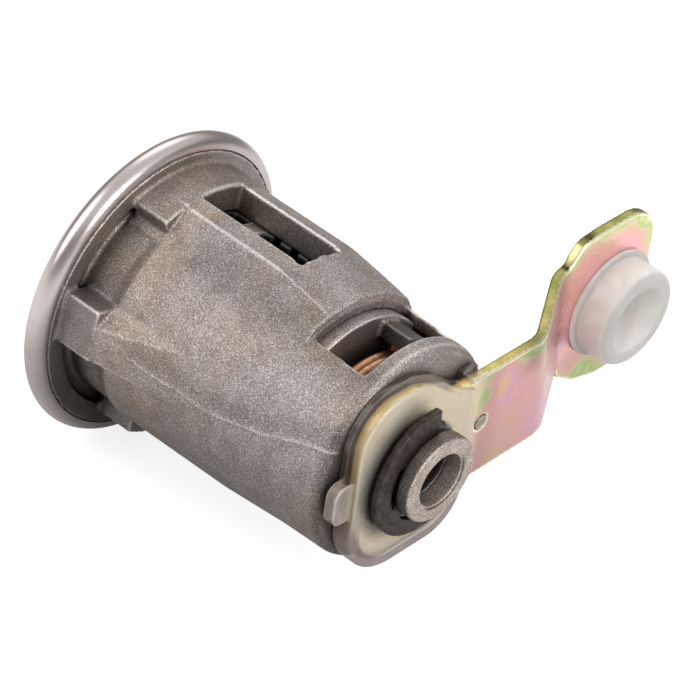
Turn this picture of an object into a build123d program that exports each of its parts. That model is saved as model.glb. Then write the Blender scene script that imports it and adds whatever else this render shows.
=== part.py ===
from build123d import *
import math
import os

# All lengths are in millimetres and angles in degrees. The origin is on the lock's axis,
# in the plane of the flange's rear face, which seats on the door panel. +Y runs from that
# plane to the tail, the key goes in toward +Y, and +Z points to the boss with the wafer slot.

# Fits
running_clearance = 0.05
end_play = 0.05
seat_gap = 0.02
plate_gap = 0.1

# Rotor
rotor_radius = 11.5
rotor_head_step = 0.9
rotor_head_thickness = 1.35
key_slot_width = 2.6
key_slot_height = 9.5
front_pocket_wall = 0.6
front_pocket_end = 7.05
front_pocket_floor = 5.2
rear_channel_start = 9.35
rear_channel_margin = 2.5
rear_web = 3.55
channel_half_width = 2.7
channel_floor = 3.5
hub_step = 0.7
shaft_radius = 5.5
dog_height = 0.61
dog_half_width = 1.9
groove_depth = 0.79
stub_tip = 1.57
stub_chamfer = 0.2
tail_bore_radius = 3.0
tail_bore_depth = 9.0
tail_bore_chamfer = 0.12
post_clearance = 0.2
post_gap = 1.65
post_start_angle = 8.0
post_end_angle = 23.0

# Housing
neck_wall = 0.95
body_wall = 1.45
tail_wall = 0.72
chamber_wall = 1.07
housing_length = 34.15
end_wall = 1.95
spring_room = 5.55
neck_end = 3.5
body_start = 5.0
taper_length = 8.0
taper_drop = 0.12
tail_length = 6.15
shoulder_radius = 1.0
root_groove_depth = 0.7
root_groove_width = 1.4

# Boss over the wafer slot
boss_rise = 1.5
boss_front_drop = 0.15
boss_crown_start = 3.0
boss_crown_end = 17.2
boss_slope_drop = 1.1
boss_bevel = 0.95
boss_edge_drop = 1.3
boss_edge_setback = 0.3
boss_near_edge = 5.15
boss_far_edge = 6.2
boss_chamfer = 0.35
boss_flank_spread = 2.9
boss_flank_foot = 10.0
slot_half_width = 3.0
slot_start = 4.6
slot_end = 18.48
window_half_width = 7.0
window_length = 6.95
window_foot = 8.0

# Locating lugs behind the flange
lug_length = 4.65
lug_rise = 1.65
side_lug_rise = 2.0
side_lug_top = 3.47
side_lug_bottom = -2.3
buttress_rise = 1.85
buttress_end = 15.0
buttress_corner = 1.5
buttress_shoulder = 12.6
top_lug_edge = 8.0
top_lug_foot = 7.0
bottom_lug_half_width = 5.3

# Bezel cap, rolled from sheet over the flange's edge
flange_reach = 4.5
bezel_sheet = 0.45
bezel_roll_radius = 1.35
bezel_lip_drop = 0.1
bezel_hold = 1.2

# Rotor face and shutter
face_sheet = 0.45
face_gap = 0.4
shutter_sheet = 0.6
shutter_overlap = 0.6
shutter_knuckle_radius = 1.0
shutter_pin_radius = 0.5
shutter_pin_offset = 3.2
shutter_swing_room = 0.3
shutter_side_room = 0.8
shutter_spring_wire = 0.3
shutter_spring_half_length = 1.4
shutter_spring_leg = 2.4

# Wafers
wafer_count = 5
wafer_first = 10.6
wafer_sheet = 0.9
wafer_half_width = 3.95
wafer_top = 8.0
wafer_bottom = -8.2
wafer_travel = 1.5
wafer_window_margin = 0.2
wafer_ear_width = 1.8
wafer_ear_height = 1.2
wafer_ear_bottom = 2.0
wafer_spring_length = 5.0

# Return spring
spring_wire = 0.9
spring_mean_radius = 8.0
spring_coils = 5
spring_end_gap = 0.45
spring_anchor_depth = 1.2

# Lever of sheet, seen from the tail: "along" runs from the axis to the rod bush
lever_tilt = 78.6
lever_sheet = 1.2
lever_drop = 6.02
lever_skew = 7.4
bend_start = 19.4
bend_end = 28.9
tab_start = 29.3
bend_radius = 3.6
tab_bend_radius = 5.5
arm_upper_edge = 6.32
arm_lower_edge = -6.87
tab_end = 43.4
tab_upper_edge = 8.9
tab_lower_edge = -11.5
tab_corner_radius = 4.5
# Along from tab_start, in from the tab's edge, and radius
tab_upper_corners = ((2.0, 0.3, 2.0), (5.0, 0.0, 3.0))
tab_lower_corners = ((8.0, 0.0, 5.0), (4.0, 1.0, 4.0), (0.7, 3.2, 1.0))

# Clear cover round the lever's root
cover_sheet = 0.55
cover_wall = 0.75
cover_chamfer = 0.25
cover_end = 7.95
cover_left = -9.35
cover_top = 10.75
cover_bottom = -11.35
cover_upper_radius = 5.8
cover_lower_radius = 7.0
cover_end_radius = 5.0
# Back from cover_end, down from cover_top, and radius
cover_shoulder = ((8.65, 0.0, 1.5), (5.75, 1.25, 2.0), (2.7, 3.75, 2.0), (0.0, 5.15, 0.4))
nub_reach = 2.45
nub_half_width = 2.4
nub_height = 1.3
nub_radius = 1.4
hook_start = 7.2
hook_end = 9.4
hook_height = 0.7
hook_foot = 4.0
tongue_end = 11.4
tongue_half_width = 1.6
peg_radius = 0.85
peg_along = 9.9
peg_stand = 0.15

# E-clip
clip_radius = 7.45
clip_sheet = 0.8
clip_lift = 0.66
clip_dish = 0.2
clip_flat_radius = 5.6
clip_recess_radius = 5.4
clip_mouth = (-4.5, 91.0)
clip_recesses = ((-125.0, -70.0), (156.0, 211.0))

# Rod bush
bush_along = 37.2
bush_across = -1.57
bush_shank_radius = 3.5
bush_flange_step = 2.85
bush_flange_thickness = 0.48
bush_head_step = 2.2
bush_head_length = 3.75
bush_rounding = 0.8
bush_collar_step = 1.0
bush_collar_length = 1.1
bush_bore_radius = 1.7
bush_throat_radius = 2.3
bush_mouth_radius = 3.9
bush_funnel_depth = 3.0

# Radii that follow from the fits
bore_radius = rotor_radius + running_clearance
head_radius = rotor_radius + rotor_head_step
neck_radius = bore_radius + neck_wall
body_radius = bore_radius + body_wall
tail_radius = bore_radius + tail_wall
chamber_radius = tail_radius - chamber_wall
boss_radius = body_radius + boss_rise
lug_radius = body_radius + lug_rise
bezel_radius = body_radius + flange_reach
rim_radius = bezel_radius - bezel_roll_radius
bezel_opening_radius = head_radius - bezel_hold
face_radius = bezel_opening_radius - face_gap
hub_radius = shaft_radius + hub_step
stub_radius = shaft_radius - dog_height
groove_radius = stub_radius - groove_depth
post_outer_radius = chamber_radius - post_clearance

# Places along the lock's axis
rim_plane = -(bezel_lip_drop + bezel_roll_radius)
bezel_front = rim_plane - bezel_roll_radius
flange_front = bezel_front + bezel_sheet + end_play
head_rear = flange_front + rotor_head_thickness
window_end = housing_length - end_wall
window_start = window_end - window_length
tail_start = housing_length - tail_length
body_end = tail_start - taper_length
boss_edge = window_start - boss_edge_setback
boss_slope_end = boss_edge - boss_bevel
rotor_rear = window_end - spring_room
cover_front = housing_length + plate_gap
lever_front = cover_front + cover_sheet + seat_gap
lever_rear = lever_front + lever_sheet
cover_rear = lever_rear + seat_gap + cover_sheet
clip_front = cover_rear + clip_lift
clip_rear = clip_front + clip_sheet
stub_end = clip_rear + stub_tip
tab_rear = lever_rear - lever_drop
tab_front = tab_rear - lever_sheet
spring_front = rotor_rear + spring_end_gap + seat_gap
spring_rear = window_end - spring_end_gap

# Shutter and wafers
shutter_front = flange_front + end_play
shutter_pin_plane = shutter_front + shutter_knuckle_radius
shutter_free_edge = -(key_slot_width / 2 + shutter_overlap)
shutter_half_height = key_slot_height / 2 + shutter_overlap
shutter_reach = math.hypot(shutter_pin_offset - shutter_free_edge, shutter_knuckle_radius)
recess_radius = shutter_side_room + math.hypot(
    shutter_pin_offset + shutter_knuckle_radius, shutter_half_height)
recess_end = shutter_pin_plane + shutter_reach + shutter_swing_room
front_pocket_start = recess_end + front_pocket_wall
rear_channel_end = rotor_rear - rear_web
wafer_pitch = (rear_channel_end - rear_channel_margin - wafer_first) / (wafer_count - 1)
wafer_places = [wafer_first + number * wafer_pitch for number in range(wafer_count)]
wafer_slot_bottom = wafer_bottom - wafer_travel - plate_gap
wafer_ear_end = wafer_half_width + wafer_ear_width
wafer_spring_foot = wafer_ear_bottom - plate_gap / 2 - wafer_spring_length

# Directions of the lever, as it lies at rest
tilt = math.radians(lever_tilt)
lever_along = Vector(-math.sin(tilt), 0, math.cos(tilt))
lever_across = Vector(math.cos(tilt), 0, math.sin(tilt))

far = 60.0


def polygon(*points):
    """Face with straight sides."""
    return make_face(Polyline(*points, close=True))


def rounded_polygon(corners):
    """Face whose corners are given as (first, second, radius)."""
    points = [(first, second) for first, second, radius in corners]
    radii = [radius for first, second, radius in corners]
    return make_face(FilletPolyline(*points, radius=radii, close=True))


def box_face(low, high):
    """Rectangle between two opposite corners."""
    return polygon(low, (high[0], low[1]), high, (low[0], high[1]))


def slab(face, start, end):
    """Solid of a face drawn in X and Z, from start to end along the axis."""
    plane = Plane(origin=(0, start, 0), x_dir=(1, 0, 0), z_dir=(0, -1, 0))
    return extrude(plane * face, amount=end - start, dir=(0, 1, 0))


def lever_slab(face, start, end):
    """Solid of a face drawn along and across the lever, from start to end along the axis."""
    plane = Plane(origin=(0, start, 0), x_dir=lever_along, z_dir=(0, 1, 0))
    return extrude(plane * face, amount=end - start, dir=(0, 1, 0))


def turned(face):
    """Solid of a face drawn in radius and Y, turned about the lock's axis."""
    return revolve(face, axis=Axis.Y)


def ring(inner, outer, start, end):
    """Turned ring, or a disc where inner is 0."""
    return turned(box_face((inner, start), (outer, end)))


def polar(radius, angle):
    """Point in X and Z at an angle from +Z toward -X."""
    turn = math.radians(angle)
    return (-radius * math.sin(turn), radius * math.cos(turn))


def wedge(angles):
    """Face of a wedge from the axis, between two angles."""
    first, last = angles
    middle = (first + last) / 2
    return polygon((0, 0), polar(far, first), polar(far * 2, middle), polar(far, last))


def body_profile():
    """Outer line of the housing's barrel, in radius and Y."""
    return rounded_polygon([
        (0, 0, 0),
        (neck_radius, 0, 0),
        (neck_radius, neck_end, 0),
        (body_radius, body_start, 0),
        (body_radius - taper_drop, body_end, 0),
        (tail_radius + taper_drop, tail_start, 0),
        (tail_radius, housing_length, shoulder_radius),
        (0, housing_length, 0),
    ])


def flange():
    """Flange with its rounded edge inside the bezel's roll and a groove at its root."""
    edge = bezel_roll_radius - bezel_sheet - end_play
    step = rim_plane + edge
    plate = box_face((0, flange_front), (rim_radius, step))
    seat = box_face((0, step - seat_gap), (rim_radius - bezel_lip_drop, 0))
    edge_round = Pos(rim_radius, rim_plane) * Circle(edge)
    groove = ring(neck_radius, neck_radius + root_groove_width, -root_groove_depth, 0)
    return turned(plate + seat + edge_round) - groove


def boss():
    """Long boss over the rotor, sloping down to the rear window."""
    inside = neck_radius - boss_rise
    crown = polygon(
        (inside, 0),
        (boss_radius - boss_front_drop, 0),
        (boss_radius, boss_crown_start),
        (boss_radius, boss_crown_end),
        (boss_radius - boss_slope_drop, boss_slope_end),
        (boss_radius - boss_edge_drop, boss_edge),
        (bore_radius + boss_front_drop, window_start),
        (inside, window_start),
    )
    crest = math.sqrt(boss_radius ** 2 - boss_near_edge ** 2)
    far_crest = math.sqrt(boss_radius ** 2 - boss_far_edge ** 2)
    section = polygon(
        (boss_near_edge + boss_flank_spread, window_foot / 2),
        (boss_near_edge + boss_flank_spread, boss_flank_foot),
        (boss_near_edge + boss_chamfer, crest - boss_chamfer),
        (boss_near_edge - boss_chamfer, crest + boss_chamfer),
        (boss_near_edge - boss_chamfer, far),
        (-boss_far_edge + boss_chamfer, far),
        (-boss_far_edge + boss_chamfer, far_crest + boss_chamfer),
        (-boss_far_edge - boss_chamfer, far_crest - boss_chamfer),
        (-boss_far_edge - boss_flank_spread, boss_flank_foot - boss_rise),
        (-boss_far_edge - boss_flank_spread, window_foot / 2),
    )
    return turned(crown) & slab(section, 0, window_start)


def side_lug(side):
    """Flat-faced lug beside the barrel, with the buttress that runs back from it."""
    inside = side * neck_radius / 2
    reach = side * (body_radius + side_lug_rise)
    lug = slab(box_face((inside, side_lug_bottom), (reach, side_lug_top)), 0, lug_length)
    section = polygon(
        (inside, side_lug_bottom),
        (reach, side_lug_bottom),
        (side * (lug_radius + boss_front_drop), buttress_corner),
        (side * buttress_shoulder, side_lug_top),
        (inside, side_lug_top),
    )
    cone = polygon(
        (0, 0),
        (body_radius + buttress_rise, 0),
        (body_radius + buttress_rise, lug_length),
        (body_radius - boss_front_drop, buttress_end),
        (0, buttress_end),
    )
    return lug + (turned(cone) & slab(section, 0, buttress_end))


def rim_lugs():
    """Lugs with round tops: one each side of the boss and one opposite it."""
    tops = ring(neck_radius / 2, lug_radius, 0, lug_length)
    foot = neck_radius / 2
    near = polygon((0, foot), (top_lug_foot, foot), (top_lug_foot, boss_flank_foot),
                   (top_lug_edge, neck_radius), (top_lug_edge, far), (0, far))
    bottom = box_face((-bottom_lug_half_width, -far), (bottom_lug_half_width, -foot))
    near_lug = slab(near, 0, lug_length)
    sections = near_lug + mirror(near_lug, about=Plane.YZ) + slab(bottom, 0, lug_length)
    return tops & sections


def spring_anchor(radius):
    """Pin-shaped space or wire end that holds the return spring in the end wall."""
    pin = Pos(0, -spring_mean_radius) * Circle(radius)
    return slab(pin, spring_rear - spring_wire / 2, window_end + spring_anchor_depth)


def housing():
    """Cast housing: barrel, flange, boss and lugs, bored for the rotor."""
    shell = turned(body_profile()) + flange() + boss()
    shell += side_lug(1)
    shell += side_lug(-1)
    shell += rim_lugs()
    counterbore_end = head_rear + plate_gap
    chamber_start = rotor_rear + plate_gap
    shell -= ring(0, head_radius + plate_gap, flange_front - far, counterbore_end)
    shell -= ring(0, bore_radius, 0, chamber_start) + ring(0, bore_radius, flange_front, 0)
    shell -= ring(0, chamber_radius, chamber_start - seat_gap, window_end)
    shell -= ring(0, shaft_radius + running_clearance, window_end, housing_length + far)
    slot = box_face((-slot_half_width, window_foot), (slot_half_width, far))
    shell -= slab(slot, slot_start, slot_end)
    window = box_face((-window_half_width, window_foot), (window_half_width, far))
    shell -= slab(window, window_start, window_end)
    shell -= spring_anchor(spring_wire / 2 + running_clearance)
    return shell


def bezel_cap():
    """Sheet ring with a flat front and a full-round rim that hooks behind the flange."""
    roll = Circle(bezel_roll_radius) - Circle(bezel_roll_radius - bezel_sheet)
    roll = Pos(rim_radius, rim_plane) * roll
    roll -= box_face((0, bezel_front - far), (rim_radius, far))
    front = box_face((bezel_opening_radius, bezel_front), (rim_radius, bezel_front + bezel_sheet))
    return turned(front + roll)


def rotor_blank():
    """Turned form of the rotor, from its head to the tail stub."""
    shaft_end = housing_length + seat_gap
    mouth = tail_bore_radius + tail_bore_chamfer
    bore_end = stub_end - tail_bore_depth
    return turned(polygon(
        (0, flange_front),
        (head_radius, flange_front),
        (head_radius, head_rear),
        (rotor_radius, head_rear),
        (rotor_radius, rotor_rear),
        (hub_radius, rotor_rear),
        (hub_radius, window_end - plate_gap),
        (shaft_radius, window_end - plate_gap),
        (shaft_radius, shaft_end),
        (stub_radius, shaft_end),
        (stub_radius, clip_front - seat_gap),
        (groove_radius, clip_front - seat_gap),
        (groove_radius, clip_rear + seat_gap),
        (stub_radius, clip_rear + seat_gap),
        (stub_radius, stub_end - stub_chamfer),
        (stub_radius - stub_chamfer, stub_end),
        (mouth, stub_end),
        (tail_bore_radius, stub_end - tail_bore_chamfer),
        (tail_bore_radius, bore_end),
        (0, bore_end - tail_bore_radius / 3),
    ))


def rotor_cuts():
    """Key slot, shutter recess, pockets and wafer slots of the rotor."""
    half_key = key_slot_width / 2
    key = box_face((-half_key, -key_slot_height / 2), (half_key, key_slot_height / 2))
    cuts = slab(key, flange_front - 1, rear_channel_end)
    cuts += ring(0, recess_radius, flange_front - 1, recess_end)
    seat = shutter_pin_radius + running_clearance
    pin_slot = box_face((shutter_pin_offset - seat, -recess_radius - running_clearance),
                        (shutter_pin_offset + seat, recess_radius + running_clearance))
    cuts += slab(pin_slot, flange_front - 1, shutter_pin_plane + seat)
    pocket = box_face((-channel_half_width, front_pocket_floor), (channel_half_width, far))
    cuts += slab(pocket, front_pocket_start, front_pocket_end)
    channel = box_face((-channel_half_width, channel_floor), (channel_half_width, far))
    cuts += slab(channel, rear_channel_start, rear_channel_end)
    half_slot = wafer_half_width + plate_gap
    wafer_slot = box_face((-half_slot, wafer_slot_bottom), (half_slot, far))
    ear_slot = box_face((0, wafer_spring_foot), (wafer_ear_end + plate_gap, far))
    for place in wafer_places:
        room = wafer_sheet / 2 + running_clearance
        cuts += slab(wafer_slot + ear_slot, place - room, place + room)
    return cuts


def spring_post():
    """Post on the rotor's rear face that the return spring's leg bears on."""
    inner = spring_mean_radius + spring_wire / 2 + post_gap / 2
    tube = ring(inner, post_outer_radius, rotor_rear - seat_gap, window_end - post_gap)
    return tube & slab(wedge((post_start_angle, post_end_angle)), rotor_rear - 1, window_end)


def dogs(radius, half_width, end):
    """Two dogs that drive the lever, or their notches."""
    bar = slab(box_face((-half_width, -far), (half_width, far)), housing_length, end)
    return bar & ring(0, radius, housing_length, end)


def rotor():
    """Cast rotor with its tail shaft, stub and blind bore."""
    drive = dogs(shaft_radius, dog_half_width, lever_rear) - ring(0, groove_radius, 0, far)
    return rotor_blank() - rotor_cuts() + spring_post() + drive


def rotor_face():
    """Thin disc with the key slit, on the rotor's front."""
    half_key = key_slot_width / 2
    slit = box_face((-half_key, -key_slot_height / 2), (half_key, key_slot_height / 2))
    disc = ring(0, face_radius, flange_front - face_sheet, flange_front)
    return disc - slab(slit, flange_front - 1, flange_front + 1)


def upright(x, y, radius, low, high):
    """Round bar along Z."""
    return extrude(Plane.XY.offset(low) * Pos(x, y) * Circle(radius), amount=high - low)


def pin_bar(radius, low, high):
    """Round bar on the shutter's hinge axis."""
    return upright(shutter_pin_offset, shutter_pin_plane, radius, low, high)


def shutter():
    """Flap that closes the key slit, with a knuckle above and below its spring."""
    tall = shutter_half_height
    plate_face = box_face((shutter_free_edge, -tall), (shutter_pin_offset, tall))
    flap = slab(plate_face, shutter_front, shutter_front + shutter_sheet)
    flap += pin_bar(shutter_knuckle_radius, -tall, tall)
    flap -= pin_bar(shutter_pin_radius + running_clearance, -tall, tall)
    room = shutter_spring_half_length + plate_gap
    left = shutter_pin_offset - shutter_knuckle_radius - plate_gap
    gap = box_face((left, -room), (shutter_pin_offset + far, room))
    return flap - slab(gap, flange_front - 1, far)


def shutter_pin():
    """Straight pin held in the rotor's slots."""
    return pin_bar(shutter_pin_radius, -recess_radius, recess_radius)


def shutter_spring():
    """Small coil on the pin with one leg behind the flap."""
    half = shutter_spring_half_length
    inner = shutter_pin_radius + running_clearance
    outer = inner + shutter_spring_wire
    leg_front = shutter_front + shutter_sheet + seat_gap
    leg_face = box_face((shutter_pin_offset - shutter_knuckle_radius - shutter_spring_leg, 0),
                        (shutter_pin_offset - inner, shutter_spring_wire))
    leg = slab(leg_face, leg_front, leg_front + shutter_spring_wire)
    coil = pin_bar(outer, -half, half) + leg
    return coil - pin_bar(inner, -half, half)


def wafer(place):
    """Brass wafer with the key window and the ear that its spring lifts."""
    plate = box_face((-wafer_half_width, wafer_bottom), (wafer_half_width, wafer_top))
    ear = box_face((0, wafer_ear_bottom), (wafer_ear_end, wafer_ear_bottom + wafer_ear_height))
    half_key = key_slot_width / 2 + wafer_window_margin
    tall = key_slot_height / 2 + wafer_window_margin
    window = box_face((-half_key, -tall), (half_key, tall + wafer_travel))
    return slab(plate + ear - window, place - wafer_sheet / 2, place + wafer_sheet / 2)


def wafer_spring(place):
    """Coil spring under the wafer's ear, as its outer form."""
    centre = wafer_ear_end - wafer_ear_width / 2
    top = wafer_spring_foot + wafer_spring_length
    return upright(centre, place, wafer_sheet / 2, wafer_spring_foot, top)


def return_spring():
    """Torsion spring round the hub: coils, an end in the end wall and a leg at the post."""
    first = spring_front + spring_wire / 2
    pitch = (spring_rear - spring_front - spring_wire) / (spring_coils - 1)
    core = spring_wire / 3
    section = box_face((spring_mean_radius - core, first),
                       (spring_mean_radius + core, first + pitch * (spring_coils - 1)))
    for number in range(spring_coils):
        section += Pos(spring_mean_radius, first + number * pitch) * Circle(spring_wire / 2)
    spring = turned(section) + spring_anchor(spring_wire / 2)
    leg_end = spring_mean_radius + spring_wire / 2 + post_gap / 2 - plate_gap
    direction = Vector(*polar(1, post_end_angle))
    side = Vector(direction.X, 0, direction.Y)
    start = side * spring_mean_radius + Vector(0, first, 0)
    leg_plane = Plane(origin=start, z_dir=side)
    return spring + extrude(leg_plane * Circle(spring_wire / 2), leg_end - spring_mean_radius)


def cover_outline():
    """Outline of the cover's side wall, along and across the lever."""
    shoulder = [(cover_end - back, cover_top - down, radius)
                for back, down, radius in cover_shoulder]
    return rounded_polygon([
        (cover_left, cover_bottom, cover_lower_radius),
        (cover_left, cover_top, cover_upper_radius),
        *shoulder,
        (cover_end, cover_bottom, cover_end_radius),
    ])


def lever_outline():
    """Flat outline of the lever: root, arm and tab."""
    inset = cover_wall + plate_gap
    root = offset(cover_outline(), amount=-inset)
    arm = box_face((0, arm_lower_edge), (tab_start + 1, arm_upper_edge))
    upper = [(tab_start + along, tab_upper_edge - inward, radius)
             for along, inward, radius in tab_upper_corners]
    lower = [(tab_start + along, tab_lower_edge + inward, radius)
             for along, inward, radius in tab_lower_corners]
    tab = rounded_polygon([
        (tab_start, arm_lower_edge, 0),
        (tab_start, arm_upper_edge, 0),
        *upper,
        (tab_end, tab_upper_edge, tab_corner_radius),
        (tab_end, tab_lower_edge, tab_corner_radius),
        *lower,
    ])
    return root + arm + tab


def lever_strip():
    """Side view of the bent sheet, drawn along the lever and in Y, and made wide."""
    slope = math.atan2(lever_drop, bend_end - bend_start)
    shift = lever_sheet * math.tan(slope / 2)
    outer = bend_radius + lever_sheet
    side = rounded_polygon([
        (-far, lever_rear, 0),
        (bend_start, lever_rear, outer),
        (bend_end, tab_rear, tab_bend_radius),
        (far, tab_rear, 0),
        (far, tab_front, 0),
        (bend_end - shift, tab_front, tab_bend_radius + lever_sheet),
        (bend_start - shift, lever_front, bend_radius),
        (-far, lever_front, 0),
    ])
    skew = math.radians(lever_skew)
    bend_along = lever_along * math.cos(skew) + lever_across * math.sin(skew)
    bend_line = lever_across * math.cos(skew) - lever_along * math.sin(skew)
    plane = Plane(origin=bend_line * -far, x_dir=bend_along, z_dir=bend_line * -1)
    return extrude(plane * side, amount=far * 2, dir=bend_line)


def lever():
    """Cranked lever, blanked from sheet and bent twice."""
    blank = lever_slab(lever_outline(), tab_front - 1, lever_rear + 1)
    blank -= ring(0, stub_radius + running_clearance, 0, far)
    blank -= dogs(shaft_radius + running_clearance, dog_half_width + running_clearance, far)
    blank -= lever_slab(Pos(peg_along, 0) * Circle(peg_radius + running_clearance), 0, far)
    hole = Circle(bush_shank_radius + running_clearance)
    blank -= lever_slab(Pos(bush_along, bush_across) * hole, 0, far)
    return blank & lever_strip()


def cover_shell():
    """Outer form of the cover, with its rear edge broken, hollowed for the lever."""
    shell = lever_slab(cover_outline(), cover_front, cover_rear)
    rear_edges = shell.faces().sort_by(Axis.Y)[-1].outer_wire().edges()
    shell = chamfer(rear_edges, cover_chamfer)
    pocket = offset(cover_outline(), amount=-cover_wall)
    way_out = box_face((0, arm_lower_edge - plate_gap), (far, arm_upper_edge + plate_gap))
    return shell - lever_slab(pocket + way_out, lever_front - seat_gap, lever_rear + seat_gap)


def cover_fittings():
    """Hinge nub at the closed side, hook over the arm's edge and tongue with the peg."""
    left = cover_left - nub_reach
    nub = lever_slab(rounded_polygon([
        (left, -nub_half_width, nub_radius),
        (left, nub_half_width, nub_radius),
        (cover_left + cover_wall, nub_half_width, 0),
        (cover_left + cover_wall, -nub_half_width, 0),
    ]), lever_front - seat_gap, lever_front + nub_height)
    low = arm_upper_edge + plate_gap
    hook = lever_slab(box_face((hook_start, low), (hook_end, low + hook_height)),
                      cover_front, cover_rear - cover_chamfer)
    hook += lever_slab(box_face((hook_start, hook_foot), (hook_end, low + hook_height)),
                       cover_front, cover_front + cover_sheet)
    tongue_face = box_face((cover_end - cover_wall, -tongue_half_width),
                           (tongue_end, tongue_half_width))
    tongue = lever_slab(tongue_face, cover_front, cover_front + cover_sheet)
    peg = lever_slab(Pos(peg_along, 0) * Circle(peg_radius), cover_front,
                     lever_rear + peg_stand)
    return nub + hook + tongue + peg


def lever_cover():
    """Clear cover folded round the lever's root."""
    shell = cover_shell() + cover_fittings()
    shell -= ring(0, shaft_radius + plate_gap, 0, lever_front)
    return shell - ring(0, stub_radius + plate_gap * 2, 0, far)


def e_clip():
    """Dished E-clip in the stub's groove, pressing on the cover."""
    rim_front = clip_front - clip_dish
    inner = groove_radius + running_clearance
    dish = turned(polygon(
        (inner, clip_front),
        (clip_flat_radius - plate_gap, clip_front),
        (clip_radius, rim_front),
        (clip_radius, rim_front + clip_sheet),
        (clip_flat_radius, clip_rear),
        (inner, clip_rear),
    ))
    dish -= slab(wedge(clip_mouth), 0, far)
    for recess in clip_recesses:
        dish -= slab(wedge(recess), 0, far) & ring(0, clip_recess_radius, 0, far)
    return dish


def rod_bush():
    """Bush that snaps through the lever's tab and takes the door rod."""
    seat = tab_rear + seat_gap
    neck = tab_front - end_play
    head = seat + bush_head_length + bush_flange_thickness
    nose = neck - bush_collar_length
    flange_radius = bush_shank_radius + bush_flange_step
    head_edge = bush_shank_radius + bush_head_step
    collar = bush_shank_radius + bush_collar_step
    shape = turned(rounded_polygon([
        (bush_bore_radius, nose, 0),
        (bush_shank_radius, nose, 0),
        (collar, neck, 0),
        (bush_shank_radius, neck, 0),
        (bush_shank_radius, seat, 0),
        (flange_radius, seat, 0),
        (flange_radius, seat + bush_flange_thickness, 0),
        (head_edge, seat + bush_flange_thickness, 0),
        (head_edge, head, bush_rounding),
        (bush_mouth_radius, head, 0),
        (bush_throat_radius, head - bush_funnel_depth, 0),
        (bush_bore_radius, head - bush_funnel_depth, 0),
    ]))
    place = lever_along * bush_along + lever_across * bush_across
    return Pos(place.X, 0, place.Z) * shape


def parts():
    """Every piece by its name."""
    pieces = {
        "housing": housing(),
        "bezel_cap": bezel_cap(),
        "rotor": rotor(),
        "rotor_face": rotor_face(),
        "shutter": shutter(),
        "shutter_pin": shutter_pin(),
        "shutter_spring": shutter_spring(),
        "return_spring": return_spring(),
        "lever": lever(),
        "lever_cover": lever_cover(),
        "e_clip": e_clip(),
        "rod_bush": rod_bush(),
    }
    for number, place in enumerate(wafer_places, start=1):
        pieces[f"wafer_{number}"] = wafer(place)
        pieces[f"wafer_spring_{number}"] = wafer_spring(place)
    return pieces


os.makedirs("parts", exist_ok=True)
for name, piece in parts().items():
    export_step(piece, f"parts/{name}.step")
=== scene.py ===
import math

import bmesh
import bpy
import numpy as np
from mathutils import Matrix, Vector
from mathutils.kdtree import KDTree


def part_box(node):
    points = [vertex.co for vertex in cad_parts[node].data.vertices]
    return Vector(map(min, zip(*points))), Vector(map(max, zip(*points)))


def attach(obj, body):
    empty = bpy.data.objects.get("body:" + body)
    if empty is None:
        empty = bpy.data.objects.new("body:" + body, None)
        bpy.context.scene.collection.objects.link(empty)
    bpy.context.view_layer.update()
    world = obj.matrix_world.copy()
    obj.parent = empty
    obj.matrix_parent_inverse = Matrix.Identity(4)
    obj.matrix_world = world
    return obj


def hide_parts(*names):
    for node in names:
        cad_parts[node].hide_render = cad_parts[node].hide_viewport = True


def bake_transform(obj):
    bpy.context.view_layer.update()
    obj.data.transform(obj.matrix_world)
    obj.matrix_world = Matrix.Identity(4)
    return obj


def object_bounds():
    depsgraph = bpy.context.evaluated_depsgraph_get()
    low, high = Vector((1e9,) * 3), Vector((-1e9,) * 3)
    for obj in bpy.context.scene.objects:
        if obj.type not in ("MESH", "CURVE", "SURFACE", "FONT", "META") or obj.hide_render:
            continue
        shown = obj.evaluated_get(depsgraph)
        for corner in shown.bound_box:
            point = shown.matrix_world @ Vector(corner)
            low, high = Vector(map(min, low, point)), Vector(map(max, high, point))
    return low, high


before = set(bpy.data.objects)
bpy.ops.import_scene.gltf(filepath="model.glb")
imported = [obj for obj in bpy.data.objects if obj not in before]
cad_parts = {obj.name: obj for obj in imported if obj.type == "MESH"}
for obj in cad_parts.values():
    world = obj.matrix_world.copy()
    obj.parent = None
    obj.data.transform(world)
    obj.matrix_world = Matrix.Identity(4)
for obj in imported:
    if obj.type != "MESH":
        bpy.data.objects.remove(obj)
cad_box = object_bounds()

# Lengths below are in metres, in the lock's own frame: +Y from the panel to the tail, +Z to the
# boss. One millimetre is MM.
MM = 0.001
scene = bpy.context.scene

# Camera, from the photograph's perspective
CAMERA_RIGHT = Vector((-0.64836722, 0.72213461, 0.24112561))
CAMERA_UP = Vector((-0.23257869, -0.48945017, 0.84044374))
CAMERA_BACK = Vector((0.72493248, 0.48883549, 0.48529657))
CAMERA_TARGET = Vector((-12.3233, 16.55, -1.4557)) * MM
CAMERA_DISTANCE = 419.254 * MM
CAMERA_LENS = 207.2
CAMERA_SENSOR = 36.0

# Lever, as it lies at rest
LEVER_TILT = math.radians(78.6)
LEVER_ALONG = Vector((-math.sin(LEVER_TILT), 0, math.cos(LEVER_TILT)))
LEVER_ACROSS = Vector((math.cos(LEVER_TILT), 0, math.sin(LEVER_TILT)))


# ---- meshes -------------------------------------------------------------------------------


def new_piece(name, mesh):
    """Object with a mesh, in the scene."""
    piece = bpy.data.objects.new(name, mesh)
    scene.collection.objects.link(piece)
    return piece


def set_smooth(mesh, angle=None):
    """Smooth shading, with edges sharper than the angle kept."""
    for polygon in mesh.polygons:
        polygon.use_smooth = True
    if angle is not None:
        mesh.set_sharp_from_angle(angle=math.radians(angle))


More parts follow.
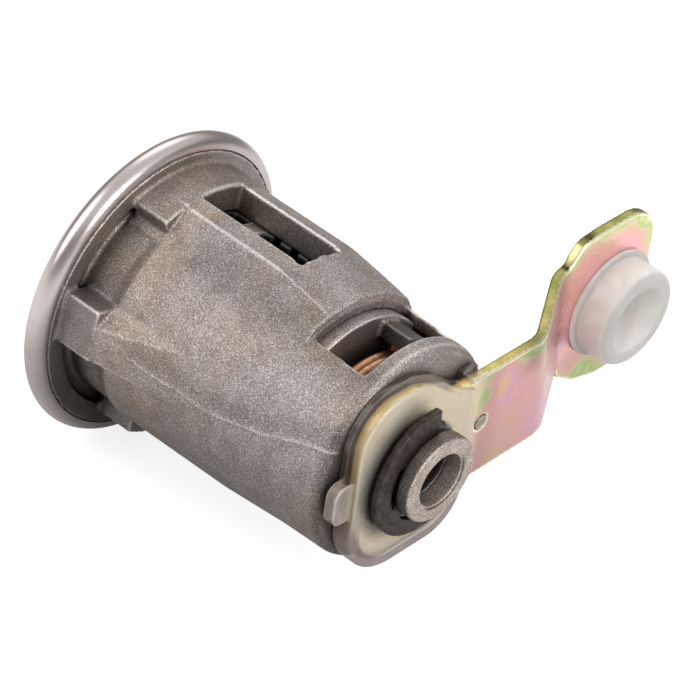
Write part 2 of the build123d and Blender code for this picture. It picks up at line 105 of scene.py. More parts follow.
def mesh_of(node):
    """The node's mesh as bmesh, its faces joined at their shared edges."""
    bm = bmesh.new()
    bm.from_mesh(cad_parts[node].data)
    bmesh.ops.remove_doubles(bm, verts=bm.verts, dist=0.0005 * MM)
    return bm


def apply_modifiers(piece):
    """Turns the piece's modifiers into its own mesh."""
    graph = bpy.context.evaluated_depsgraph_get()
    mesh = bpy.data.meshes.new_from_object(
        piece.evaluated_get(graph), preserve_all_data_layers=True, depsgraph=graph)
    piece.modifiers.clear()
    piece.data = mesh


def dress(piece, material, body, slot, *nodes):
    """Material and body of a piece that stands for its nodes; the slot is not used."""
    piece.data.materials.clear()
    piece.data.materials.append(material)
    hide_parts(*nodes)
    if body:
        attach(piece, body)
    return piece


def cut_off(bm, place, keep_above):
    """Removes what lies on one side of a plane across Y, and closes the cut."""
    cut = bmesh.ops.bisect_plane(
        bm, geom=bm.verts[:] + bm.edges[:] + bm.faces[:], dist=0.0005 * MM,
        plane_co=(0, place, 0), plane_no=(0, 1, 0), clear_inner=keep_above,
        clear_outer=not keep_above)
    rim = [part for part in cut["geom_cut"] if isinstance(part, bmesh.types.BMEdge)]
    bmesh.ops.triangle_fill(bm, use_beauty=True, edges=rim, normal=(0, 1, 0))


def softened(node, name, voxel, passes, stretch=(None, None)):
    """Copy of a node, or of its stretch between two places in Y, whose edges are rounded as
    a casting's or moulding's are."""
    bm = mesh_of(node)
    if stretch[0] is not None:
        cut_off(bm, stretch[0], True)
    if stretch[1] is not None:
        cut_off(bm, stretch[1], False)
    mesh = bpy.data.meshes.new(name)
    bm.to_mesh(mesh)
    bm.free()
    piece = new_piece(name, mesh)
    remesh = piece.modifiers.new("even", "REMESH")
    remesh.mode = "VOXEL"
    remesh.voxel_size = voxel
    remesh.adaptivity = 0.0
    smooth = piece.modifiers.new("round", "SMOOTH")
    smooth.factor = 0.5
    smooth.iterations = passes
    apply_modifiers(piece)
    set_smooth(piece.data)
    return piece


def thinned(piece, most):
    """Leaves out triangles where the surface is flat, down to a number of them."""
    count = sum(len(polygon.vertices) - 2 for polygon in piece.data.polygons)
    if count > most:
        thin = piece.modifiers.new("thin", "DECIMATE")
        thin.ratio = most / count
        apply_modifiers(piece)


def points_of(mesh):
    """Places and normals of the mesh's points, as arrays."""
    count = len(mesh.vertices)
    places = np.empty(count * 3)
    normals = np.empty(count * 3)
    mesh.vertices.foreach_get("co", places)
    mesh.vertices.foreach_get("normal", normals)
    return places.reshape(-1, 3), normals.reshape(-1, 3)


def store(mesh, name, values):
    """A value for each point, which a material can read by name."""
    attribute = mesh.attributes.new(name, "FLOAT", "POINT")
    attribute.data.foreach_set("value", np.asarray(values, dtype=np.float32))


def neighbour_mean(mesh, values):
    """Mean of the values at each point's neighbours."""
    ends = np.empty(len(mesh.edges) * 2, dtype=np.int64)
    mesh.edges.foreach_get("vertices", ends)
    first, second = ends[0::2], ends[1::2]
    total = np.zeros_like(values)
    np.add.at(total, first, values[second])
    np.add.at(total, second, values[first])
    share = np.bincount(ends, minlength=len(values))
    return total / share.reshape((-1,) + (1,) * (values.ndim - 1))


def edges_of(mesh, spacing, passes=3):
    """How far each point stands out of the surface round it: above 0 on outer edges, below 0
    in corners."""
    places, normals = points_of(mesh)
    bend = ((places - neighbour_mean(mesh, places)) * normals).sum(axis=1) / spacing
    for _ in range(passes):
        bend = (bend + neighbour_mean(mesh, bend)) / 2
    return bend


def moved(mesh, by):
    """Moves each point along its normal by its own length."""
    places, normals = points_of(mesh)
    mesh.vertices.foreach_set("co", (places + normals * by[:, None]).ravel())
    mesh.update()


def bell(distance, width):
    """Smooth bump of height 1 and a half width."""
    return np.exp(-(distance / width) ** 2)


def rising(value, low, high):
    """Goes from 0 to 1 between two values."""
    return np.clip((value - low) / (high - low), 0.0, 1.0)


def falling(value, low, high):
    """Goes from 1 to 0 between two values."""
    return 1.0 - rising(value, low, high)


def distances(places, points):
    """Distance of each place from the nearest of some points."""
    tree = KDTree(len(points))
    for index, point in enumerate(points):
        tree.insert(point, index)
    tree.balance()
    return np.array([tree.find(place)[2] for place in places])


def swept(name, points, radius, sides=12):
    """Round wire along points, with closed ends."""
    bm = bmesh.new()
    rings = []
    across = None
    for number, point in enumerate(points):
        before = points[max(number - 1, 0)]
        after = points[min(number + 1, len(points) - 1)]
        along = (after - before).normalized()
        if across is None:
            across = along.orthogonal().normalized()
        across = (across - along * across.dot(along)).normalized()
        other = along.cross(across)
        ring = []
        for side in range(sides):
            turn = 2 * math.pi * side / sides
            ring.append(bm.verts.new(
                point + (across * math.cos(turn) + other * math.sin(turn)) * radius))
        rings.append(ring)
    for first, second in zip(rings, rings[1:]):
        for side in range(sides):
            after = (side + 1) % sides
            bm.faces.new((first[side], first[after], second[after], second[side]))
    bm.faces.new(reversed(rings[0]))
    bm.faces.new(rings[-1])
    mesh = bpy.data.meshes.new(name)
    bm.to_mesh(mesh)
    bm.free()
    set_smooth(mesh, 40)
    return new_piece(name, mesh)


# ---- materials ----------------------------------------------------------------------------


class Finish:
    """A procedural material under construction."""

    def __init__(self, name):
        self.material = bpy.data.materials.new(name)
        self.material.use_nodes = True
        self.tree = self.material.node_tree
        self.shader = self.tree.nodes["Principled BSDF"]
        self.place = self.node("ShaderNodeTexCoord").outputs["Object"]

    def node(self, kind, **values):
        """New node; values are set on its properties or on its sockets of that name."""
        node = self.tree.nodes.new(kind)
        for key, value in values.items():
            if hasattr(node, key):
                setattr(node, key, value)
            else:
                self.link(value, node.inputs[key.replace("_", " ")])
        return node

    def link(self, value, socket):
        """Feeds a socket with another socket or with a constant."""
        if isinstance(value, bpy.types.NodeSocket):
            self.tree.links.new(value, socket)
        else:
            socket.default_value = value

    def set(self, **values):
        """Feeds the shader's sockets."""
        for key, value in values.items():
            if key.endswith("color") or key.endswith("Color"):
                value = rgba(value)
            self.link(value, self.shader.inputs[key.replace("_", " ")])

    def value(self, name):
        """Value stored in the mesh under a name."""
        return self.node("ShaderNodeAttribute", attribute_name=name).outputs["Fac"]

    def noise(self, scale, detail=2.0, roughness=0.5):
        """Noise of a scale in cells per metre."""
        return self.node("ShaderNodeTexNoise", Vector=self.place, Scale=scale,
                         Detail=detail, Roughness=roughness).outputs["Fac"]

    def ramp(self, value, *stops):
        """Colours or greys at places along a value."""
        node = self.node("ShaderNodeValToRGB")
        self.link(value, node.inputs["Fac"])
        set_stops(node, stops)
        return node.outputs["Color"]

    def mix(self, factor, first, second, blend="MIX"):
        """Colour between two colours."""
        node = self.node("ShaderNodeMix", data_type="RGBA", blend_type=blend)
        self.link(factor, node.inputs[0])
        self.link(rgba(first), node.inputs[6])
        self.link(rgba(second), node.inputs[7])
        return node.outputs[2]

    def math(self, kind, first, second=0.0):
        """Arithmetic on values."""
        node = self.node("ShaderNodeMath", operation=kind)
        self.link(first, node.inputs[0])
        self.link(second, node.inputs[1])
        return node.outputs[0]

    def bump(self, height, distance, strength=1.0):
        """Relief of a height map, joined to the shader's normal."""
        node = self.node("ShaderNodeBump", Height=height, Distance=distance,
                         Strength=strength)
        self.link(node.outputs["Normal"], self.shader.inputs["Normal"])


def rgba(colour):
    """Colour with alpha, or the socket that it is."""
    if isinstance(colour, bpy.types.NodeSocket):
        return colour
    if isinstance(colour, (int, float)):
        return (colour, colour, colour, 1.0)
    return tuple(colour) + (1.0,) * (4 - len(colour))


def set_stops(node, stops):
    """Colours or greys at places along a colour ramp."""
    elements = node.color_ramp.elements
    while len(elements) < len(stops):
        elements.new(0.5)
    for element, (position, colour) in zip(elements, stops):
        element.position = position
        element.color = rgba(colour)


def cast_zinc(name, lightness=1.0, shadow=0.25):
    """Bead-blasted zinc: a fine bright and dark grain over soft warm mottling, lighter along
    edges with wear and painted highlights, with painted shade in corners and painted light and
    shade from the mesh."""
    finish = Finish(name)
    grain = finish.noise(7200, 3.0, 0.65)
    cloud = finish.noise(420, 4.0, 0.6)
    patch = finish.noise(110, 3.0, 0.5)
    colour = finish.ramp(grain, (0.30, 0.14 * lightness), (0.47, 0.31 * lightness),
                         (0.56, 0.41 * lightness), (0.70, 0.86 * lightness))
    colour = finish.mix(1.0, colour, finish.ramp(
        cloud, (0.35, (0.86, 0.79, 0.77)), (0.65, (1.10, 1.03, 1.00))), "MULTIPLY")
    colour = finish.mix(1.0, colour, finish.ramp(
        patch, (0.38, (1.0, 0.90, 0.80)), (0.58, (1.0, 0.955, 0.94))), "MULTIPLY")
    # Painted shade in corners, from ambient occlusion; the shadow argument sets how dark it goes
    near = finish.node("ShaderNodeAmbientOcclusion", samples=8, Distance=4.0 * MM)
    shade = finish.ramp(near.outputs["AO"], (0.12, shadow), (0.65, 1.0))
    colour = finish.mix(1.0, colour, shade, "MULTIPLY")
    # Lighter along edges: wear, with painted highlights
    edge = finish.math("ADD", finish.value("edge"), finish.math(
        "MULTIPLY", finish.math("SUBTRACT", grain, 0.5), 0.22))
    colour = finish.mix(finish.ramp(edge, (0.038, 0.0), (0.12, 0.85)), colour,
                        (0.92, 0.87, 0.83))
    # Painted light and shade that the mesh stores
    colour = finish.mix(1.0, colour, finish.value("shade"), "MULTIPLY")
    finish.set(Base_Color=colour, Metallic=0.9)
    finish.set(Roughness=finish.ramp(grain, (0.35, 0.55), (0.65, 0.36)))
    finish.bump(finish.math("ADD", grain, finish.math("MULTIPLY", cloud, 0.6)), 0.09 * MM, 0.7)
    return finish.material


def satin_steel(name):
    """Turned stainless steel with fine rings round the axis."""
    finish = Finish(name)
    split = finish.node("ShaderNodeSeparateXYZ", Vector=finish.place)
    radius = finish.math("SQRT", finish.math(
        "ADD", finish.math("POWER", split.outputs["X"], 2.0),
        finish.math("POWER", split.outputs["Z"], 2.0)))
    lines = finish.node("ShaderNodeTexNoise", noise_dimensions="1D", W=radius, Scale=9000.0,
                        Detail=3.0).outputs["Fac"]
    cloud = finish.noise(160, 3.0)
    colour = finish.ramp(cloud, (0.35, (0.53, 0.475, 0.46)), (0.65, (0.61, 0.555, 0.54)))
    finish.set(Base_Color=colour, Metallic=1.0)
    finish.set(Roughness=finish.ramp(lines, (0.3, 0.24), (0.7, 0.36)))
    finish.bump(lines, 0.01 * MM, 0.25)
    return finish.material


def yellow_zinc(name):
    """Yellow passivated zinc: pink, green and gold tints that follow the sheet's edges, with
    painted highlights on the edges, painted reflections on the tab's upper edge, and painted
    light and shade from the mesh.
    """
    finish = Finish(name)
    side = finish.value("side")
    cloud = finish.noise(150, 3.0, 0.55)
    fine = finish.noise(900, 3.0, 0.6)
    film = finish.math("ADD", finish.value("film"), finish.math(
        "MULTIPLY", finish.math("SUBTRACT", cloud, 0.5), 1.0))
    film = finish.math("ADD", film, finish.math("MULTIPLY", finish.math(
        "SUBTRACT", fine, 0.5), 0.12))
    face = finish.ramp(
        film, (0.14, (0.52, 0.53, 0.34)), (0.28, (0.32, 0.40, 0.15)),
        (0.42, (0.47, 0.41, 0.26)), (0.55, (0.54, 0.33, 0.27)), (0.68, (0.57, 0.31, 0.31)),
        (0.78, (0.55, 0.31, 0.37)), (0.88, (0.60, 0.37, 0.22)))
    face = finish.mix(finish.value("root"), face, finish.ramp(
        cloud, (0.35, (0.82, 0.69, 0.46)), (0.65, (0.94, 0.82, 0.60))))
    edge = finish.ramp(cloud, (0.36, (0.22, 0.27, 0.06)), (0.50, (0.40, 0.35, 0.12)),
                       (0.64, (0.52, 0.42, 0.15)))
    # Painted highlight: the sheet's edges under the cover are light gold
    edge = finish.mix(finish.value("root"), edge, (0.95, 0.72, 0.28))
    # Painted reflections: bright and dark patches on the tab's upper edge
    edge = finish.mix(finish.value("bright"), edge, (0.97, 0.80, 0.42))
    edge = finish.mix(finish.value("dark"), edge, (0.07, 0.045, 0.015))
    colour = finish.mix(side, face, edge)
    # Painted highlight along the front arris
    colour = finish.mix(finish.ramp(finish.value("edge"), (0.018, 0.0), (0.05, 0.8)), colour,
                        (0.95, 0.88, 0.60))
    # Painted light and shade that the mesh stores
    colour = finish.mix(1.0, colour, finish.value("shade"), "MULTIPLY")
    rim = finish.math("MULTIPLY", finish.value("root"), side)
    finish.set(Base_Color=colour, Metallic=finish.ramp(rim, (0.3, 0.9), (0.7, 0.3)))
    finish.set(Roughness=finish.ramp(fine, (0.35, 0.26), (0.65, 0.38)))
    finish.bump(finish.noise(2600, 3.0), 0.02 * MM, 0.5)
    return finish.material


def clear_plastic(name):
    """Clear moulded plastic, faintly warm, with painted shade on its side walls and bottom brim
    where they are seen edge on, painted highlights on its edges, painted shadow beside the clip
    and a painted dark band where its wall meets the housing."""
    finish = Finish(name)
    cloud = finish.noise(500, 3.0)
    wall = finish.value("wall")
    brim = finish.value("brim")
    edge = finish.ramp(finish.value("edge"), (0.04, 0.0), (0.13, 1.0))
    face = finish.ramp(cloud, (0.3, (0.90, 0.81, 0.66)), (0.7, (0.97, 0.90, 0.77)))
    side = finish.ramp(cloud, (0.3, (0.30, 0.235, 0.20)), (0.7, (0.40, 0.32, 0.28)))
    thick = finish.ramp(cloud, (0.3, (0.26, 0.195, 0.18)), (0.7, (0.36, 0.28, 0.26)))
    # Painted shade: darker side walls and bottom brim, seen edge on
    colour = finish.mix(brim, finish.mix(wall, face, side), thick)
    # Painted highlight on the edges
    colour = finish.mix(edge, colour, (0.86, 0.80, 0.72))
    colour = finish.mix(1.0, colour, finish.value("shade"), "MULTIPLY")
    # Painted shade: a dark band where the cover's wall meets the housing
    colour = finish.mix(finish.value("foot_shade"), colour, (0.05, 0.035, 0.032))
    clear = finish.mix(brim, finish.mix(wall, 0.34, 0.10), 0.72)
    clear = finish.mix(edge, clear, 0.60)
    clear = finish.mix(finish.value("foot_shade"), clear, 0.90)
    finish.set(Base_Color=colour, Alpha=clear)
    finish.set(Roughness=finish.ramp(cloud, (0.3, 0.14), (0.7, 0.24)))
    finish.bump(cloud, 0.02 * MM, 0.3)
    return finish.material


def milky_nylon(name):
    """Translucent natural nylon, a little clearer where it is thin and seen face on, with
    painted highlights on its edges and painted shade from the mesh.
    """
    finish = Finish(name)
    cloud = finish.noise(300, 3.0)
    turn = finish.node("ShaderNodeLayerWeight")
    turn.inputs["Blend"].default_value = 0.4
    body = finish.ramp(cloud, (0.3, (0.86, 0.84, 0.80)), (0.7, (0.93, 0.91, 0.875)))
    # Painted highlights on the edges
    edge = finish.ramp(finish.value("edge"), (0.03, 0.0), (0.12, 0.9))
    body = finish.mix(edge, body, (0.97, 0.96, 0.93))
    finish.set(Base_Color=finish.mix(1.0, body, finish.value("shade"), "MULTIPLY"))
    finish.set(Roughness=finish.ramp(cloud, (0.3, 0.28), (0.7, 0.40)))
    finish.set(Alpha=finish.ramp(turn.outputs["Facing"], (0.05, 0.68), (0.7, 0.93)))
    finish.shader.inputs["Subsurface Weight"].default_value = 0.8
    finish.shader.inputs["Subsurface Radius"].default_value = (1.0, 0.95, 0.9)
    finish.shader.inputs["Subsurface Scale"].default_value = 2.0 * MM
    finish.bump(finish.noise(700, 2.0), 0.02 * MM, 0.4)
    return finish.material


def plain_metal(name, dark, light, rough, scale=1500):
    """Metal with a fine mottled surface between two colours."""
    finish = Finish(name)
    cloud = finish.noise(scale, 4.0, 0.6)
    finish.set(Base_Color=finish.ramp(cloud, (0.35, dark), (0.65, light)), Metallic=1.0)
    finish.set(Roughness=finish.ramp(cloud, (0.3, rough + 0.08), (0.7, rough - 0.06)))
    finish.bump(cloud, 0.02 * MM, 0.4)
    return finish.material


ZINC = cast_zinc("cast zinc housing")
# Rotor's zinc, with deeper painted shade in its corners
ROTOR_ZINC = cast_zinc("cast zinc rotor", shadow=0.10)
# Stub's zinc, painted lighter for the light on its end face
LIT_STUB_ZINC = cast_zinc("cast zinc stub painted lighter", lightness=1.45)
STEEL = satin_steel("satin stainless steel")
PLATED = yellow_zinc("yellow zinc plating")
CLEAR = clear_plastic("clear plastic")
NYLON = milky_nylon("milky nylon")
CLIP_STEEL = plain_metal("dark spring steel",
                         (0.05, 0.04, 0.036), (0.095, 0.078, 0.072), 0.42)
COPPER_WIRE = plain_metal("coppered spring wire",
                          (0.45, 0.24, 0.13), (0.68, 0.42, 0.27), 0.35)
SPRING_STEEL = plain_metal("bright spring wire",
                           (0.40, 0.39, 0.38), (0.60, 0.59, 0.57), 0.30)
# Brass painted dark, for the shade deep in the slot where the wafers lie
SHADED_BRASS = plain_metal("wafer brass painted dark", (0.09, 0.06, 0.025), (0.15, 0.105, 0.045), 0.5, 700)
FLAP_STEEL = plain_metal("dull flap steel",
                         (0.16, 0.15, 0.145), (0.24, 0.23, 0.22), 0.45, 2600)
PIN_STEEL = plain_metal("ground pin steel",
                        (0.45, 0.44, 0.43), (0.60, 0.59, 0.58), 0.25, 900)


def finish_node(node, material):
    """A better material on a node that keeps its own shape."""
    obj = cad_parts[node]
    for place in obj.material_slots:
        place.material = material
    if not obj.material_slots:
        obj.data.materials.append(material)


# ---- castings -----------------------------------------------------------------------------

# Spacing of the points on each rounded surface
HOUSING_SPACING = 0.21 * MM
ROTOR_SPACING = 0.22 * MM
STUB_SPACING = 0.09 * MM
LEVER_SPACING = 0.18 * MM
COVER_SPACING = 0.13 * MM
CLIP_SPACING = 0.11 * MM
BUSH_SPACING = 0.12 * MM
MOST_TRIANGLES = 190000

# From here to the springs, places on the surfaces are in millimetres.

# Ridges: the parting line low on the barrel's near side, as places in Y and Z, and the near
# edge of the boss, as a place in X
PARTING_LINE = np.array(((8.0, 0.5), (12.5, -0.2), (19.0, -0.3), (26.0, 1.1), (31.0, 2.8),
                         (33.5, 3.3)))
BOSS_RIDGE = 5.15
RIDGE_WIDTH = 0.18
# Band of painted shade along the barrel beside the boss, in degrees from the boss
FLANK_ANGLE = 33.0
FLANK_WIDTH = 14.0
# Rotor's stub: where it is meshed apart, its end, and its crescent groove's radius, width,
# depth and direction in X and Z
STUB_CUT = 37.5
STUB_END = 39.62
GROOVE_RADIUS = 3.3
GROOVE_WIDTH = 0.16
GROOVE_DEPTH = 0.10
GROOVE_TOWARD = (-0.79, -0.61)


def housing_with_painted_light():
    """Housing with rounded edges and its ridges, with values for edges lighter from wear and
    painted highlights, and for painted shade.
    """
    piece = softened("housing", "housing_casting", HOUSING_SPACING, 2)
    mesh = piece.data
    places, normals = points_of(mesh)
    x, y, z = places.T / MM
    radius = np.hypot(x, z)
    around = np.degrees(np.arctan2(x, z))
    above = z - np.interp(y, PARTING_LINE[:, 0], PARTING_LINE[:, 1])
    near = rising(x, 10.0, 11.0) * rising(y, 7.5, 9.5)
    parting = bell(above, RIDGE_WIDTH) * near
    boss = bell(x - BOSS_RIDGE, RIDGE_WIDTH) * rising(z, 11.0, 12.0)
    boss *= rising(y, 2.5, 4.0) * falling(y, 24.4, 24.9) * rising(radius, 12.8, 13.0)
    # Painted highlight on the rear shoulder
    shoulder_highlight = bell(normals[:, 1] - 0.5, 0.22) * rising(z, 8.0, 10.5)
    shoulder_highlight *= rising(y, 32.0, 32.6) * falling(y, 34.9, 35.0)
    edge = edges_of(mesh, HOUSING_SPACING)
    moved(mesh, (parting * 0.10 + boss * 0.08) * MM)
    # Edges lighter from wear and painted highlight, with painted highlights along the ridges and
    # the shoulder
    store(mesh, "edge", edge + parting * 0.08 + boss * 0.085 + shoulder_highlight * 0.06)

    # Painted shade: darker towards the bottom of the flange, on the lugs, in a band above the
    # parting line, in a band on the flank beside the boss, and on the rear rim beside the cover
    flange = falling(y, 0.4, 1.2)
    lugs = falling(y, 4.2, 5.0) * (1.0 - flange)
    shaded_flank = bell(around - FLANK_ANGLE, FLANK_WIDTH) * rising(y, 5.0, 9.0)
    shade = 1.0 - 0.58 * flange * falling(z, -9.0, 11.0)
    shade *= 1.0 - 0.26 * lugs
    shade *= 1.0 - 0.22 * bell(above - 1.3, 1.0) * near
    shade *= 1.0 - 0.36 * shaded_flank * rising(radius, 11.7, 12.0)
    shade *= 1.0 - 0.55 * rising(y, 33.0, 33.9) * falling(z, 6.0, 9.0)
    store(mesh, "shade", shade)
    thinned(piece, MOST_TRIANGLES)
    return piece


def stub_with_groove():
    """Rear end of the rotor, with the thin crescent groove round its bore, painted shade in the
    groove and on its side, and painted light on the bore's wall.
    """
    piece = softened("rotor", "rotor_stub", STUB_SPACING, 2, (STUB_CUT * MM, None))
    mesh = piece.data
    places, normals = points_of(mesh)
    x, y, z = places.T / MM
    radius = np.hypot(x, z)
    toward = (GROOVE_TOWARD[0] * x + GROOVE_TOWARD[1] * z) / np.maximum(radius, 1.0)
    end = rising(y, STUB_END - 0.25, STUB_END - 0.1) * rising(radius, 1.0, 3.0)
    groove = bell(radius - GROOVE_RADIUS, GROOVE_WIDTH) * end * rising(toward, 0.1, 0.5)
    edge = edges_of(mesh, STUB_SPACING)
    moved(mesh, -groove * GROOVE_DEPTH * MM)
    # Edges lighter with painted highlights, less so on the groove's lips
    store(mesh, "edge", edge * 0.5 - groove * 0.3)

    # Painted shade in the groove and on the stub's side; painted light on the bore's wall
    # towards the lower side
    lit_bore = falling(radius, 2.92, 3.02)
    shaded_side = rising(radius, 3.8, 4.0) * falling(normals[:, 1], 0.45, 0.75)
    shade = (1.0 - 0.95 * groove) * (1.0 - 0.60 * shaded_side)
    shade *= 1.0 + lit_bore * (1.6 * rising(toward, -0.2, 0.9) - 0.1)
    store(mesh, "shade", shade)
    return piece


def rotor_with_painted_light():
    """Rotor up to its stub, with painted shade where it lies deep behind the slot and the
    window, and edge values for painted highlights.
    """
    piece = softened("rotor", "rotor_casting", ROTOR_SPACING, 1, (None, STUB_CUT * MM))
    mesh = piece.data
    y = points_of(mesh)[0][:, 1] / MM
    # Painted shade: dark in the slot, except on the web, and in the chamber behind the window
    web = rising(y, 6.9, 7.1) * falling(y, 9.1, 9.4)
    slot = rising(y, 3.8, 4.2) * falling(y, 18.8, 19.0) * (1.0 - web)
    chamber = rising(y, 26.9, 27.1)
    store(mesh, "edge", edges_of(mesh, ROTOR_SPACING, 2))
    store(mesh, "shade", (1.0 - 0.9 * slot) * (1.0 - 0.72 * chamber))
    thinned(piece, MOST_TRIANGLES)
    return piece


dress(rotor_with_painted_light(), ROTOR_ZINC, "plug", "die_cast", "rotor")
dress(stub_with_groove(), LIT_STUB_ZINC, "plug", "die_cast", "rotor")
dress(housing_with_painted_light(), ZINC, "housing", "die_cast", "housing")

finish_node("bezel_cap", STEEL)
finish_node("rotor_face", STEEL)
finish_node("shutter", FLAP_STEEL)
finish_node("shutter_pin", PIN_STEEL)
for number in range(1, 6):
    finish_node(f"wafer_{number}", SHADED_BRASS)


# ---- lever, cover, clip and bush ------------------------------------------------------------


# Green spots of the plating: places along and across the lever, width and strength
GREEN_SPOTS = ((9.9, 3.4, 1.3, 0.45), (17.0, 6.0, 2.2, 0.25), (35.0, -9.6, 2.6, 0.40),
               (41.3, 7.2, 1.4, 0.35))
# Painted dark and bright reflections on the tab's upper edge: places along the lever and width
DARK_REFLECTIONS = ((29.2, 0.4), (32.6, 0.9))
BRIGHT_REFLECTION = (30.6, 0.8)
# Strip of green along the lever's edges
STRIP_WIDTH = 2.2
# Radii between which the clip's shadow fades
CLIP_SHADOW = (7.2, 9.2)


def under_clip(places):
    """1 where the clip shades the surface beside it, falling to 0 away from it."""
    x, _, z = places.T / MM
    return falling(np.hypot(x, z), *CLIP_SHADOW) * rising(x, 0.5, 4.5)


def plated_lever():
    """Lever with rounded edges and the values that its plating's tints follow, and its painted
    highlights, reflections, light and shade.
    """
    piece = softened("lever", "lever_sheet", LEVER_SPACING, 5)
    mesh = piece.data
    places, normals = points_of(mesh)
    level = np.abs(normals[:, 1])
    inward = distances(places, places[level < 0.35]) / MM
    along = places @ np.array(LEVER_ALONG) / MM
    across = places @ np.array(LEVER_ACROSS) / MM
    arm = rising(along, 11.0, 13.0)
    tab = rising(along, 28.0, 30.0)
    fold = bell(along - 17.4, 1.6) * rising(across, 2.0, 4.0)
    face = rising(level, 0.6, 0.8)

    upper = np.maximum(rising(across, -1.0, 4.0), tab * 0.8)
    rim = 1.0 - falling(inward, 0.0, STRIP_WIDTH) * upper
    film = 0.20 + 0.48 * np.sqrt(rim)
    for middle, aside, width, strength in GREEN_SPOTS:
        film -= strength * bell(np.hypot(along - middle, across - aside), width)
    upper_edge = rising(across, 4.0, 5.0)
    dark = sum(bell(along - middle, width) for middle, width in DARK_REFLECTIONS)
    bright = bell(along - BRIGHT_REFLECTION[0], BRIGHT_REFLECTION[1])
    # Painted highlight along the front arris
    arris_highlight = edges_of(mesh, LEVER_SPACING) * (normals[:, 1] > 0.2)
    # Painted light and shade: the clip's shadow, darker at the fold and on the arm's edges,
    # lighter on the arm's and tab's faces
    lit = 0.60 * rising(across, -7.0, -1.0) - 0.05
    shade = (1.0 - 0.85 * under_clip(places)) * (1.0 - 0.35 * fold)
    shade *= 1.0 + face * (0.14 * arm + lit * tab) - 0.25 * (1.0 - face) * arm

    store(mesh, "film", np.maximum(film, 0.26))
    store(mesh, "dark", dark * upper_edge)
    store(mesh, "bright", bright * upper_edge)
    store(mesh, "side", falling(level, 0.45, 0.75))
    store(mesh, "root", falling(along, 7.5, 10.0))
    store(mesh, "edge", arris_highlight * (1.0 - 0.45 * tab))
    store(mesh, "shade", shade)
    return piece


def clear_cover():
    """Cover with rounded edges and the values for its painted shade, shadow and highlights on
    walls, brim and edges.
    """
    piece = softened("lever_cover", "cover_shell", COVER_SPACING, 2)
    mesh = piece.data
    places, normals = points_of(mesh)
    x, y, z = places.T / MM
    level = np.abs(normals[:, 1])
    flat = places * (1, 0, 1)
    outer = flat[(level < 0.3) & (np.hypot(x, z) > 6.5)]
    inward = distances(flat, outer) / MM
    low = falling(z, -7.0, -3.0)
    nub = rising(x, 10.2, 10.5)
    wall = falling(level, 0.3, 0.8)
    brim = falling(inward, 0.6, 0.85) * (0.12 + 0.88 * low)
    # Painted dark band along the front of the side wall, where it meets the housing
    foot_shade = falling(y, 34.8, 35.0) * (1.0 - low) * (1.0 - nub)
    store(mesh, "shade", 1.0 - 0.85 * under_clip(places))
    store(mesh, "wall", wall)
    store(mesh, "brim", np.maximum(brim, nub * 0.7))
    store(mesh, "foot_shade", foot_shade * wall)
    store(mesh, "edge", edges_of(mesh, COVER_SPACING))
    return piece


def nylon_bush():
    """Bush with rounded edges, with values for painted highlights on its edges and painted shade
    on its front.
    """
    piece = softened("rod_bush", "bush_moulding", BUSH_SPACING, 2)
    mesh = piece.data
    front = rising(points_of(mesh)[1][:, 1], 0.3, 0.8)
    store(mesh, "edge", edges_of(mesh, BUSH_SPACING) * (1.0 - front))
    # Painted shade on the front face
    store(mesh, "shade", 1.0 - 0.30 * front)
    return piece


dress(plated_lever(), PLATED, "plug", "yellow_zinc", "lever")
dress(clear_cover(), CLEAR, "plug", "clear_plastic", "lever_cover")
dress(softened("e_clip", "clip_ring", CLIP_SPACING, 2), CLIP_STEEL, "plug", "dark_steel",
      "e_clip")
dress(nylon_bush(), NYLON, "bush", "nylon", "rod_bush")


# ---- springs --------------------------------------------------------------------------------


SPRING_WIRE = 0.9 * MM
SPRING_RADIUS = 8.0 * MM
SPRING_STACK = 4.61 * MM
SPRING_TURNS = 4.5
# Angle from the boss, in degrees, at which the first turn starts
SPRING_START = 23.0
WAFER_WIRE = 0.2 * MM
WAFER_TURNS = 7


def coil(centre, radius, start, end, turns, axis, first, steps):
    """Points of a helix round an axis letter, its first turn at an angle in degrees."""
    points = []
    count = int(turns * steps)
    for step in range(count + 1):
        share = step / count
        turn = math.radians(first) + 2 * math.pi * turns * share
        along = start + (end - start) * share
        if axis == "Y":
            offset = Vector((-radius * math.sin(turn), along, radius * math.cos(turn)))
        else:
            offset = Vector((radius * math.cos(turn), radius * math.sin(turn), along))
        points.append(centre + offset)
    return points


def torsion_spring():
    """Return spring: a short leg outward, the turns, and the leg to the rear."""
    low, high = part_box("return_spring")
    front = low.y + SPRING_WIRE / 2
    rear = low.y + SPRING_STACK - SPRING_WIRE / 2
    turns = coil(Vector(), SPRING_RADIUS, front, rear, SPRING_TURNS - SPRING_START / 360, "Y",
                 SPRING_START, 60)
    first, last = turns[0], turns[-1]
    leg = [Vector((first.x * share, first.y, first.z * share)) for share in (1.16, 1.08)]
    tail = [Vector((last.x, last.y + share * (high.y - last.y), last.z))
            for share in (0.25, 0.5, 0.75, 1.0)]
    piece = swept("torsion_spring", leg + turns + tail, SPRING_WIRE / 2)
    dress(piece, COPPER_WIRE, None, "steel_wire", "return_spring")
    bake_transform(piece)


def wafer_coil(number):
    """Coil spring under a wafer's ear."""
    node = f"wafer_spring_{number}"
    low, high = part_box(node)
    middle = (low + high) / 2
    radius = (high.x - low.x) / 2 - WAFER_WIRE / 2
    points = coil(Vector((middle.x, middle.y, 0)), radius, low.z + WAFER_WIRE / 2,
                  high.z - WAFER_WIRE / 2, WAFER_TURNS, "Z", 0.0, 16)
    piece = swept(f"wafer_coil_{number}", points, WAFER_WIRE / 2, 8)
    dress(piece, SPRING_STEEL, None, "spring_wire", node)
    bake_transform(piece)


